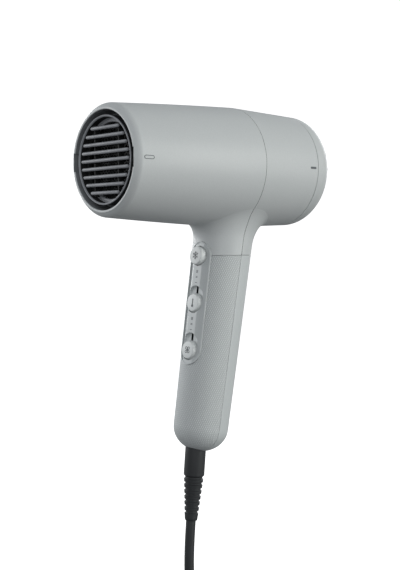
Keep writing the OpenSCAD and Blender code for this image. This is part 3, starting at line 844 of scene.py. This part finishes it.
class MakeShells(bpy.types.Operator, DryerOperator):
    """Builds the front and rear shells: barrel, outlet socket and the neck of the handle"""

    bl_idname = "hair_dryer.shells"
    bl_label = "Shells"

    def execute(self, context):
        b, h = self.sizes(context)
        shell = body(barrel_solid(b), [FINISHES["housing"], FINISHES["dark"], FINISHES["socket"]])
        shell = combine(shell, body(handle_solid(b, h)), "UNION")
        # the inner walls and the walls of the openings wear the dark finish: painted shade inside the shell
        shell = cut(shell, barrel_hollow(b), 1)
        socket = [(0, -2), (b.socket_radius, -2), (b.socket_radius, SOCKET_END), (0, SOCKET_END)]
        shell = cut(shell, lathe(socket, 142, matrix=along_barrel(b), turned=0.71), 2)
        shell = cut(shell, handle_hollow(b, h), 1)
        shell = cut(shell, panel_opening(h), 1)
        shell = cut(shell, cord_hole(), 1)
        for side in (-1, 1):     # bayonet slots of the nozzle socket
            turn = sideways(side * 32.0 - 1.2, -b.reach - 0.3, b.axis_height)
            shell = cut(shell, prism(oblong(-1, -6.2, 8, 6.2), 2.2, turn), 2)
        rear = twin(shell)
        front = combine(shell, body(front_side(b, h), index=1), "INTERSECT")
        rear = cut(rear, front_side(b, h, SEAM_GAP), 1)
        piece("front_shell_skin", front, "housing", ["front_shell"])
        piece("rear_shell_skin", rear, "housing", ["rear_shell"])
        return {"FINISHED"}


class MakeGrip(bpy.types.Operator, DryerOperator):
    """Builds the two skins of the handle: knurled in front, smooth behind"""

    bl_idname = "hair_dryer.grip"
    bl_label = "Grip skins"

    def execute(self, context):
        b, h = self.sizes(context)
        outer = foot_arc(h, 0, 16) + [(handle_radius(h, z), z) for z in range(-76, 47, 6)]
        inner = [(handle_radius(h, z) - h.skin, z) for z in (44, 0, -60)] + foot_arc(h, h.skin, 16)[::-1]
        skin = body(lathe(outer + inner, 160, matrix=along_handle(h)), [FINISHES["grip"], FINISHES["dark"]])
        above = prism(oblong(-60, -60, 60, 60), 60, Matrix.Translation((0, 0, h.neck_height - 0.25)))
        skin = cut(skin, above)
        # the walls cut for the control panel wear the dark finish: painted shade in the gap
        skin = cut(skin, panel_opening(h), 1)
        skin = cut(skin, cord_hole())
        rear = twin(skin)
        front = combine(skin, body(front_side(b, h)), "INTERSECT")
        rear = cut(rear, front_side(b, h, SEAM_GAP))
        rear.data.materials[0] = FINISHES["back"]
        piece("grip_skin_front", front, "housing", ["grip_front"])
        piece("grip_skin_rear", rear, "housing", ["grip_rear"])
        return {"FINISHED"}


class MakeOutlet(bpy.types.Operator, DryerOperator):
    """Builds the outlet: ring, bars and posts, and the step and honeycomb behind them"""

    bl_idname = "hair_dryer.outlet"
    bl_label = "Outlet"

    def execute(self, context):
        b, _ = self.sizes(context)
        at = along_barrel(b)
        r = b.ring_radius
        ring = [(r - 1.4, 18), (r - 1.4, 5.0), (r - 1.25, 4.5), (r - 0.95, 4.15), (r - 0.55, 4.0),
                (r - 0.2, 4.15), (r, 4.55), (r, 18)]
        bm = lathe(ring, 144, ring=True, matrix=at)
        for face in bm.faces:    # only the crown of the ring is light grey; the rest is painted black as shade
            face.material_index = 0 if face.calc_center_median().y < -b.reach + 1.6 else 1
        piece("outlet_ring_rim", bm, "housing", ["outlet_ring"],
              [FINISHES["bars"], FINISHES["black"]])
        parts = []
        bar_circle = 26          # the bars end on this radius
        for i in range(-4, 5):
            half = math.sqrt(bar_circle ** 2 - (i * b.bar_pitch) ** 2)
            tip = [(b.bar_radius * math.sin(a), half - b.bar_radius * (1 - math.cos(a)))
                   for a in (0, 0.4, 0.8, 1.2, TAU / 4)]
            profile = [(x, -z) for x, z in tip] + [(x, z) for x, z in reversed(tip)]
            lie = at @ Matrix.Translation((0, i * b.bar_pitch, 5.2)) @ Matrix.Rotation(TAU / 4, 4, "Y")
            parts.append(lathe(profile, 24, matrix=lie))
        piece("outlet_bars", merged(parts), "housing", ["outlet_grille"],
              [FINISHES["bars"]])
        posts = []
        for x in (-13, 13):      # the posts that carry the bars
            posts.append(prism(oblong(x - 0.5, -23.2, x + 0.5, 23.2), 4.2, raised(at, 6.3)))
        piece("outlet_bar_posts", merged(posts), "housing", [], [FINISHES["black"]])
        # a black honeycomb, painted shade that stands in for the dark inside of the outlet, deep enough to
        # hide the heater from the side
        disk = [(0, 14), (27.5, 14), (27.5, 17.6), (0, 17.6)]
        comb = body(lathe(disk, 96, matrix=at), [FINISHES["black"]])
        cells = []
        cell_pitch, row_pitch = 3.2, 2.77
        for row in range(-8, 9):
            for column in range(-8, 9):
                x, y = cell_pitch * (column + 0.5 * (row % 2)), row_pitch * row
                if math.hypot(x, y) < 25.5:
                    cells.append(prism(disc(1.4, 6), 6, at @ Matrix.Translation((x, y, 13))))
        piece("outlet_honeycomb", cut(comb, merged(cells)), "housing")
        step = [(27.6, 9.6), (25.3, 9.6), (24.9, 9.9), (24.8, 10.4), (24.8, 12), (27.6, 12)]
        bm = lathe(step, 96, ring=True, matrix=at)
        for face in bm.faces:    # painted light and shade: grey at the top and bottom, black at the sides where shade falls
            spot = face.calc_center_median()
            face.material_index = 0 if abs(spot.z - b.axis_height) > abs(spot.x) * 1.1 else 1
        piece("air_guide_step", bm, "housing", [],
              [FINISHES["bars"], FINISHES["black"]])
        return {"FINISHED"}


class MakeCap(bpy.types.Operator, DryerOperator):
    """Builds the removable intake cap with its perforated dome"""

    bl_idname = "hair_dryer.cap"
    bl_label = "Intake cap"

    def execute(self, context):
        b, _ = self.sizes(context)
        at = along_barrel(b)

        def dome(a, out):
            return ((b.tail_radius + out) * math.cos(a), b.dome_start + (b.dome_depth + out) * math.sin(a))

        start = b.cap_seam + 0.35
        edge = rear_radius(b, start)
        profile = [(38.2, start), (edge - 0.25, start), (edge, start + 0.25)]
        profile += [dome(TAU / 4 * k / 24, 0) for k in range(25)]
        profile += [dome(TAU / 4 * k / 24, -2.1) for k in range(24, -1, -1)]
        cap = body(lathe(profile, 144, matrix=at), [FINISHES["housing"], FINISHES["dark"]])
        holes = []
        hole_pitch = 2.9
        for ring in range(1, 9):
            count = 6 * ring
            for k in range(count):
                turn = Matrix.Rotation(TAU * k / count + ring * 0.35, 4, "Z")
                place = at @ turn @ Matrix.Translation((hole_pitch * ring, 0, 176))
                holes.append(prism(disc(0.95, 10), 16, place))
        # the hole walls, and the sleeve and lugs inside, wear the dark finish: painted shade in the
        # perforations and inside the cap
        cap = cut(cap, merged(holes), 1)
        sleeve = [(33.4, 149.5), (35.12, 149.5), (35.12, 164.6), (38.6, 164.6), (38.6, 166.4),
                  (33.4, 166.4)]
        neck = lathe(sleeve, 96, ring=True, matrix=at)
        lugs = []
        for k in range(3):
            block = prism(oblong(34.6, -4.6, 36.3, 4.6), 2.3,
                          raised(at @ Matrix.Rotation(TAU / 3 * k, 4, "Z"), 152.4))
            lugs.append(rounded(block, 0.3, 2))
        extra = body(merged([neck, *lugs]), index=1)
        bm = bmesh.new()
        bm.from_mesh(cap.data)
        bm.from_mesh(extra.data)
        bpy.data.objects.remove(extra)
        bm.to_mesh(cap.data)
        bm.free()
        piece("intake_cap_dome", cap, "filter_cap", ["filter_cap"])
        return {"FINISHED"}


class MakePanel(bpy.types.Operator, DryerOperator):
    """Builds the control panel with its flat strip, raised edge and rounded pockets"""

    bl_idname = "hair_dryer.panel"
    bl_label = "Control panel"

    def execute(self, context):
        _, h = self.sizes(context)
        pitch, wide = h.control_pitch, h.panel_radius
        face = on_face(h)
        strip = prism(obround(wide, -pitch, pitch, 64), 6.2, raised(face, -6.2))
        plate = body(strip, [FINISHES["panel"], FINISHES["dark"]])
        # cross-section in (x, depth): flat strip, rounded shoulders and falling sides
        half = [(4.1, 0.0), (4.6, 0.1), (5.1, 0.38), (9.4, 2.75), (11.3, 2.8), (11.3, 5.6), (8, 5.6),
                (6, 3.2)]
        section = [(-4.1, 0.0)] + half + [(-x, depth) for x, depth in reversed(half[1:])]
        shape = prism(section, 100, raised(on_panel(h), -50))
        plate = combine(plate, body(shape), "INTERSECT")
        # raised edge that stands just proud of the grip
        bead = body(prism(obround(wide, -pitch, pitch, 64), 12, raised(face, -5.6)), [FINISHES["panel"]])
        bead = cut(bead, prism(obround(wide - 0.95, -pitch, pitch, 64), 16, raised(face, -8)))
        proud = 0.55
        skin = lathe([(0, -52), (handle_radius(h, -52) + proud, -52),
                      (handle_radius(h, 52) + proud, 52), (0, 52)], 160, matrix=along_handle(h))
        bead = combine(bead, body(skin), "INTERSECT")
        plate = combine(plate, bead, "UNION")
        for z in (0, -pitch):
            here = on_face(h, z)
            pocket = prism(obround(h.knob_radius + 0.4, 0, KNOB_TRAVEL, 48), 3.6, raised(here, -2.3))
            plate = cut(plate, rounded(pocket, 1.5, 4))
            # painted shade: the slot's walls wear the dark finish
            slot = prism(obround(1.0, -0.3, KNOB_TRAVEL + 5.8, 24), 8, raised(here, -9))
            plate = cut(plate, slot, 1)
        here = on_face(h, pitch)
        # painted shade: the walls of the button's well wear the dark finish
        plate = cut(plate, prism(disc(h.button_radius + 0.4, 48), 12, raised(here, -9)), 1)
        plate = cut(plate, prism(disc(7.95, 48), 4, raised(here, -7)), 1)
        piece("control_plate", plate, "housing", ["control_panel"], crease=35)
        return {"FINISHED"}


class MakeControls(bpy.types.Operator, DryerOperator):
    """Builds the cool button and the two sliding knobs"""

    bl_idname = "hair_dryer.controls"
    bl_label = "Button and knobs"

    def execute(self, context):
        _, h = self.sizes(context)
        r, up = h.button_radius, h.button_height
        face = on_face(h, h.control_pitch)
        profile = [(0, up), (r - 0.95, up), (r - 0.7, up - 0.05), (r - 0.5, up - 0.18),
                   (r - 0.38, up - 0.4), (r, -0.4), (r, -3.6), (7.6, -3.6), (7.6, -4.6), (2, -4.6),
                   (2, -8), (0, -8)]
        piece("cool_button_cap", lathe(profile, 72, matrix=face), "cool_button",
              ["cool_button"], [FINISHES["knobs"]])
        r, up = h.knob_radius, h.knob_height
        for z, name in ((0, "temperature_knob"), (-h.control_pitch, "speed_knob")):
            face = on_face(h, z)
            profile = [(0, up), (r - 1.35, up), (r - 1.1, up - 0.05), (r - 0.9, up - 0.18),
                       (r - 0.78, up - 0.4), (r, -1.4), (r - 0.05, -2.05), (0, -2.05)]
            stem = prism(oblong(-1, -1.4, 1, 1.4), 8.2, raised(face, -10))
            piece(name + "_disc", merged([lathe(profile, 72, matrix=face), stem]), name,
                  [name], [FINISHES["knobs"]])
        return {"FINISHED"}


class MakeRelief(bpy.types.Operator, DryerOperator):
    """Builds the tapered strain relief under the handle"""

    bl_idname = "hair_dryer.relief"
    bl_label = "Strain relief"

    def execute(self, context):
        profile = [(0, 8), (3.2, 8), (3.4, 7.7), (3.4, 5), (7.0, 5), (7.3, 4.7), (7.3, -17.6),
                   (7.15, -18.4)]
        for k in range(7):       # flexible ribs of the taper
            z = -19.4 - 4.0 * k
            out, deep = 7.0 - 0.33 * k, 6.1 - 0.33 * k
            profile += [(deep, z), (deep, z - 1.1), (out - 0.1, z - 1.5), (out - 0.35, z - 3.6)]
        profile += [(4.55, -48.4), (4.4, -49.4), (4.0, -RELIEF_LENGTH), (0, -RELIEF_LENGTH)]
        piece("cord_relief", lathe(profile, 64, matrix=along_cord()), "housing",
              ["strain_relief"], [FINISHES["cord"]])
        return {"FINISHED"}


# the finish that each carried-over CAD node wears
NODE_FINISHES = {
    "ink": ["cool_button_mark", "temperature_knob_mark", "speed_knob_mark", "level_marks", "nozzle_mark",
            "cap_marks", "shell_mark"],
    "steel": ["cool_button_spring", "clamp_screws", "housing_screws", "motor_shaft", "ion_emitter"],
    "dark": ["cool_switch", "temperature_switch", "speed_switch", "intake_ring", "ion_module", "fan_duct",
             "cord_clamp", "impeller"],
    "mesh": ["filter_mesh"],
    "duct": ["heat_tube"],
    "mica": ["mica_sleeve", "mica_cross"],
    "nichrome": ["heater_coils"],
    "ceramic": ["thermostat", "thermal_fuse"],
    "rubber": ["motor_mount"],
    "motor": ["motor_can", "motor_magnets"],
    "white": ["motor_end_cap"],
    "brass": ["motor_terminals", "motor_bearings"],
    "copper": ["motor_armature", "choke"],
    "laminate": ["circuit_board"],
    "capacitor": ["suppression_capacitor"],
    "lead": ["inner_leads"],
}


class FinishNodes(bpy.types.Operator):
    """Gives the carried-over CAD parts their materials"""

    bl_idname = "hair_dryer.nodes"
    bl_label = "Inner parts"

    def execute(self, context):
        for finish, names in NODE_FINISHES.items():
            for name in names:
                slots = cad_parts[name].material_slots
                if not slots:
                    raise RuntimeError(name + " has no material slot")
                for slot in slots:
                    slot.material = FINISHES[finish]
        return {"FINISHED"}


class MakeStage(bpy.types.Operator):
    """Sets up a white studio cove, the sky and soft lights"""

    bl_idname = "hair_dryer.stage"
    bl_label = "Stage"

    def execute(self, context):
        scene = context.scene
        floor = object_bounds()[0].z / MM - 0.3
        flat, sweep = 2200, 800      # radius of the flat floor and of the curve up to the wall
        profile = [(0, floor), (flat, floor)]
        for k in range(1, 13):
            a = TAU / 4 * k / 12
            profile.append((flat + sweep * math.sin(a), floor + sweep * (1 - math.cos(a))))
        profile += [(flat + sweep, floor + 3500)]
        bm = bmesh.new()
        points = [bm.verts.new((r, 0, z)) for r, z in profile]
        lines = [bm.edges.new(pair) for pair in zip(points, points[1:])]
        bmesh.ops.spin(bm, geom=points + lines, cent=(0, 0, 0), axis=(0, 0, 1), dvec=(0, 0, 0),
                       angle=TAU, steps=96, use_merge=True)
        bmesh.ops.remove_doubles(bm, verts=bm.verts, dist=0.01)
        bmesh.ops.recalc_face_normals(bm, faces=bm.faces)
        bmesh.ops.reverse_faces(bm, faces=bm.faces)
        bmesh.ops.scale(bm, vec=(MM, MM, MM), verts=bm.verts)
        for face in bm.faces:
            face.smooth = True
        mesh = bpy.data.meshes.new("studio_cove")
        bm.to_mesh(mesh)
        bm.free()
        cove = bpy.data.objects.new("studio_cove", mesh)
        scene.collection.objects.link(cove)
        paint, _, shader = material("studio paint, white", linear("ffffff"), 0.9)
        shader.inputs["Base Color"].default_value = (0.35, 0.35, 0.35, 1)
        shader.inputs["Emission Color"].default_value = (1, 1, 1, 1)
        shader.inputs["Emission Strength"].default_value = 1.0
        mesh.materials.append(paint)
        cove.visible_diffuse = False
        cove.visible_glossy = False
        cove.visible_shadow = False
        cove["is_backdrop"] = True

        sky = bpy.data.worlds.new("studio sky")
        sky.use_nodes = True
        tree = sky.node_tree
        background = tree.nodes["Background"]
        background.inputs["Color"].default_value = (0.92, 0.96, 1.0, 1)
        ways = add(tree, "ShaderNodeTexCoord").outputs["Generated"]
        rise = add(tree, "ShaderNodeSeparateXYZ", {"Vector": ways}).outputs["Z"]
        glow = add(tree, "ShaderNodeMapRange", {"Value": rise}, in_1=-1.0, in_2=0.3, in_3=0.08, in_4=0.42)
        tree.links.new(glow.outputs[0], background.inputs["Strength"])
        scene.world = sky
        scene.view_settings.view_transform = "Standard"
        scene.view_settings.look = "None"
        target, distance = Vector((0, 0, 0.03)), 1.25
        for name, azimuth, height, size, watts, tint in (      # angles in degrees from +X
            ("key", 28, 12, (0.9, 0.8), 8.3, (0.985, 1.0, 0.96)),
            ("front", -49, 12, (0.8, 0.6), 2.7, (0.98, 0.99, 1.0)),
            ("side", 180, 12, (0.6, 0.6), 5.0, (0.98, 0.99, 1.0)),
            ("left", -145, 12, (0.6, 0.6), 4.4, (0.98, 0.99, 1.0)),
            ("back", 110, 15, (0.6, 0.6), 3.3, (0.98, 0.99, 1.0)),
            ("low", 20, -30, (0.6, 0.6), 0.6, (0.98, 0.99, 1.0)),
        ):
            light = bpy.data.lights.new(name, "AREA")
            light.shape, light.size, light.size_y = "RECTANGLE", *size
            light.energy, light.color = watts, tint
            lamp = bpy.data.objects.new(name, light)
            around, above = math.radians(azimuth), math.radians(height)
            way = Vector((math.cos(around) * math.cos(above), math.sin(around) * math.cos(above),
                          math.sin(above)))
            lamp.location = target + distance * way
            lamp.rotation_euler = (-way).to_track_quat("-Z", "Y").to_euler()
            lamp.visible_camera = False
            scene.collection.objects.link(lamp)
        return {"FINISHED"}


class HairDryerPanel(bpy.types.Panel):
    bl_idname = "VIEW3D_PT_hair_dryer"
    bl_label = "Hair Dryer"
    bl_space_type = "VIEW_3D"
    bl_region_type = "UI"
    bl_category = "Hair Dryer"

    def draw(self, context):
        scene = context.scene
        for group in (scene.hair_dryer_barrel, scene.hair_dryer_handle, scene.hair_dryer_colours):
            box = self.layout.box()
            for name in group.__annotations__:
                box.prop(group, name)
        for step in STEPS:
            self.layout.operator(step.bl_idname)


STEPS = [MakeCamera, MakeCord, MakeShells, MakeGrip, MakeOutlet, MakeCap, MakePanel, MakeControls,
         MakeRelief, FinishNodes, MakeStage]
GROUPS = {"hair_dryer_barrel": HairDryerBarrel, "hair_dryer_handle": HairDryerHandle,
          "hair_dryer_colours": HairDryerColours}


def register():
    for cls in (*GROUPS.values(), *STEPS, HairDryerPanel):
        bpy.utils.register_class(cls)
    for name, group in GROUPS.items():
        setattr(bpy.types.Scene, name, bpy.props.PointerProperty(type=group))


def unregister():
    for name in GROUPS:
        delattr(bpy.types.Scene, name)
    for cls in reversed((*GROUPS.values(), *STEPS, HairDryerPanel)):
        bpy.utils.unregister_class(cls)


def main():
    register()
    scene = bpy.context.scene
    prepare_finishes(scene.hair_dryer_colours, scene.hair_dryer_handle)
    for step in STEPS:
        group, name = step.bl_idname.split(".")
        getattr(getattr(bpy.ops, group), name)()


if __name__ == "__main__":
    main()
